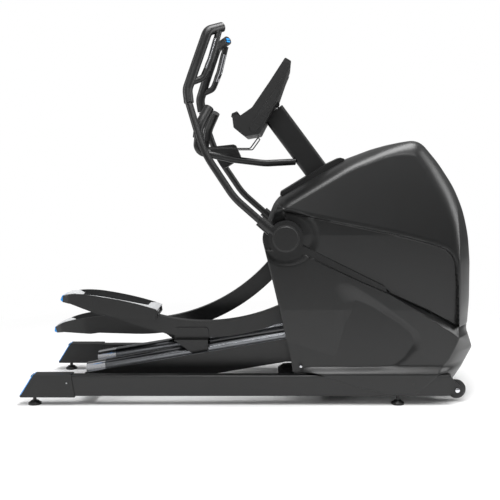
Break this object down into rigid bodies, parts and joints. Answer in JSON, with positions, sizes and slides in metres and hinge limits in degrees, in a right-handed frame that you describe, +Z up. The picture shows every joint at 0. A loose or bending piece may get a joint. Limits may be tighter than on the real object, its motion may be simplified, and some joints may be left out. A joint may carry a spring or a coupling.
{
  "type": "elliptical trainer",
  "caption": "Front-drive elliptical trainer with rolling pedal arms on an inclined dome ramp, swinging and fixed handlebars, console mast and a large front housing.",
  "frame": {"origin": "on the floor under the middle of the machine's length and width", "axes": "+X to the front housing, +Y to the user's left, +Z up"},
  "size_m": [2.1654, 0.81, 1.7849],
  "materials": {
    "frame_paint": "satin black powder coat",
    "track_metal": "satin gunmetal anodised",
    "cap_metal": "polished",
    "housing_plastic": "satin black moulded",
    "trim_plastic": "fine textured black",
    "console_plastic": "satin dark grey",
    "grip_rubber": "soft satin black",
    "mat_rubber": "textured light grey",
    "blue_accent": "bright blue",
    "wheel_rubber": "black",
    "bare_steel": "machined",
    "flywheel_iron": "dark cast",
    "belt_rubber": "black ribbed",
    "screen_glass": "gloss black display",
    "key_red": "gloss red"
  },
  "bodies": {
    "root": {"base_rail_right": "frame_paint", "base_rail_left": "frame_paint", "base_crossmembers": "frame_paint", "rail_end_caps": "trim_plastic", "levelling_feet": "trim_plastic", "wheel_forks": "frame_paint", "track_right": "track_metal", "track_left": "track_metal", "track_end_caps": "cap_metal", "ramp_frame": "frame_paint", "ramp_side_panels": "frame_paint", "drive_belt": "belt_rubber", "generator": "bare_steel", "drive_frame": "frame_paint", "handle_posts": "frame_paint", "shaft_bearings": "bare_steel", "mast": "frame_paint", "mast_boot": "trim_plastic", "fixed_bars": "frame_paint", "fixed_grips": "grip_rubber", "bottle_holder": "trim_plastic", "wire_rack": "frame_paint", "console_housing": "console_plastic", "console_screen": "screen_glass", "housing_top": "housing_plastic", "housing_side_right": "housing_plastic", "housing_side_left": "housing_plastic", "housing_nose": "housing_plastic"},
    "crank": {"crankshaft": "bare_steel", "crank_arm_right": "bare_steel", "crank_arm_left": "bare_steel", "drive_pulley": "bare_steel"},
    "flywheel": {"flywheel": "flywheel_iron"},
    "stop_key": {"stop_key": "key_red"},
    "right_carriage": {"carriage_right": "frame_paint"},
    "right_roller": {"roller_right": "bare_steel"},
    "right_arm": {"pedal_arm_right": "frame_paint", "pedal_tray_right": "trim_plastic", "pedal_mat_right": "mat_rubber"},
    "right_handle": {"rocker_shaft_right": "bare_steel", "swing_tube_right": "frame_paint", "swing_grip_right": "grip_rubber", "hub_cap_right": "trim_plastic"},
    "right_button_up": {"button_up_right": "blue_accent"},
    "right_button_down": {"button_down_right": "blue_accent"},
    "right_transport_wheel": {"transport_wheel_right": "wheel_rubber"},
    "left_carriage": {"carriage_left": "frame_paint"},
    "left_roller": {"roller_left": "bare_steel"},
    "left_arm": {"pedal_arm_left": "frame_paint", "pedal_tray_left": "trim_plastic", "pedal_mat_left": "mat_rubber"},
    "left_handle": {"rocker_shaft_left": "bare_steel", "swing_tube_left": "frame_paint", "swing_grip_left": "grip_rubber", "hub_cap_left": "trim_plastic"},
    "left_button_up": {"button_up_left": "blue_accent"},
    "left_button_down": {"button_down_left": "blue_accent"},
    "left_transport_wheel": {"transport_wheel_left": "wheel_rubber"}
  },
  "joints": [
    {"name": "right_stride", "type": "slide", "parent": "root", "child": "right_carriage", "axis": [0.9858, 0, 0.168], "range_m": [-0.18, 0.12]},
    {"name": "left_stride", "type": "slide", "parent": "root", "child": "left_carriage", "axis": [0.9858, 0, 0.168], "range_m": [-0.12, 0.18]},
    {"name": "right_rock", "type": "hinge", "parent": "right_carriage", "child": "right_arm", "pos_m": [-0.302, -0.122, 0.303], "axis": [0, -1, 0], "range_deg": [0, 17]},
    {"name": "left_rock", "type": "hinge", "parent": "left_carriage", "child": "left_arm", "pos_m": [-0.38579, 0.122, 0.28872], "axis": [0, -1, 0], "range_deg": [-17, 0]},
    {"name": "right_roller_spin", "type": "hinge", "parent": "right_carriage", "child": "right_roller", "pos_m": [-0.302, -0.122, 0.25691], "axis": [0, 1, 0], "range_deg": [-597, 597]},
    {"name": "right_handle_swing", "type": "hinge", "parent": "root", "child": "right_handle", "pos_m": [0.16, -0.36, 0.79], "axis": [0, 1, 0], "range_deg": [-10.1, 15.1]},
    {"name": "right_button_up_press", "type": "slide", "parent": "right_handle", "child": "right_button_up", "axis": [-0.6516, -0.695, -0.3041], "range_m": [0, 0.001], "stiffness_N_per_m": 600},
    {"name": "right_button_down_press", "type": "slide", "parent": "right_handle", "child": "right_button_down", "axis": [-0.6516, -0.695, -0.3041], "range_m": [0, 0.001], "stiffness_N_per_m": 600},
    {"name": "right_transport_spin", "type": "hinge", "parent": "root", "child": "right_transport_wheel", "pos_m": [0.977, -0.272, 0.058], "axis": [0, 1, 0], "continuous": true},
    {"name": "left_roller_spin", "type": "hinge", "parent": "left_carriage", "child": "left_roller", "pos_m": [-0.38579, 0.122, 0.24263], "axis": [0, 1, 0], "range_deg": [-597, 597]},
    {"name": "left_handle_swing", "type": "hinge", "parent": "root", "child": "left_handle", "pos_m": [0.16, 0.36, 0.79], "axis": [0, 1, 0], "range_deg": [-15.1, 10.1]},
    {"name": "left_button_up_press", "type": "slide", "parent": "left_handle", "child": "left_button_up", "axis": [-0.6516, 0.695, -0.3041], "range_m": [0, 0.001], "stiffness_N_per_m": 600},
    {"name": "left_button_down_press", "type": "slide", "parent": "left_handle", "child": "left_button_down", "axis": [-0.6516, 0.695, -0.3041], "range_m": [0, 0.001], "stiffness_N_per_m": 600},
    {"name": "left_transport_spin", "type": "hinge", "parent": "root", "child": "left_transport_wheel", "pos_m": [0.977, 0.272, 0.058], "axis": [0, 1, 0], "continuous": true},
    {"name": "crank_spin", "type": "hinge", "parent": "root", "child": "crank", "pos_m": [0.582, 0, 0.895], "axis": [0, 1, 0], "continuous": true},
    {"name": "flywheel_spin", "type": "hinge", "parent": "root", "child": "flywheel", "pos_m": [0.85, 0, 0.56], "axis": [0, 1, 0], "continuous": true},
    {"name": "stop_key_press", "type": "slide", "parent": "root", "child": "stop_key", "axis": [0.8284, 0, -0.5602], "range_m": [0, 0.0015], "stiffness_N_per_m": 600}
  ],
  "couplings": [
    {"joint": "left_stride", "follows": "right_stride", "ratio": -1},
    {"joint": "left_rock", "follows": "right_rock", "ratio": -1},
    {"joint": "right_roller_spin", "follows": "right_stride", "rad_per_m": 57.803},
    {"joint": "right_handle_swing", "follows": "right_stride", "rad_per_m": -1.45},
    {"joint": "left_roller_spin", "follows": "right_stride", "rad_per_m": -57.803},
    {"joint": "left_handle_swing", "follows": "right_stride", "rad_per_m": 1.45},
    {"joint": "flywheel_spin", "follows": "crank_spin", "ratio": 5.2958}
  ]
}
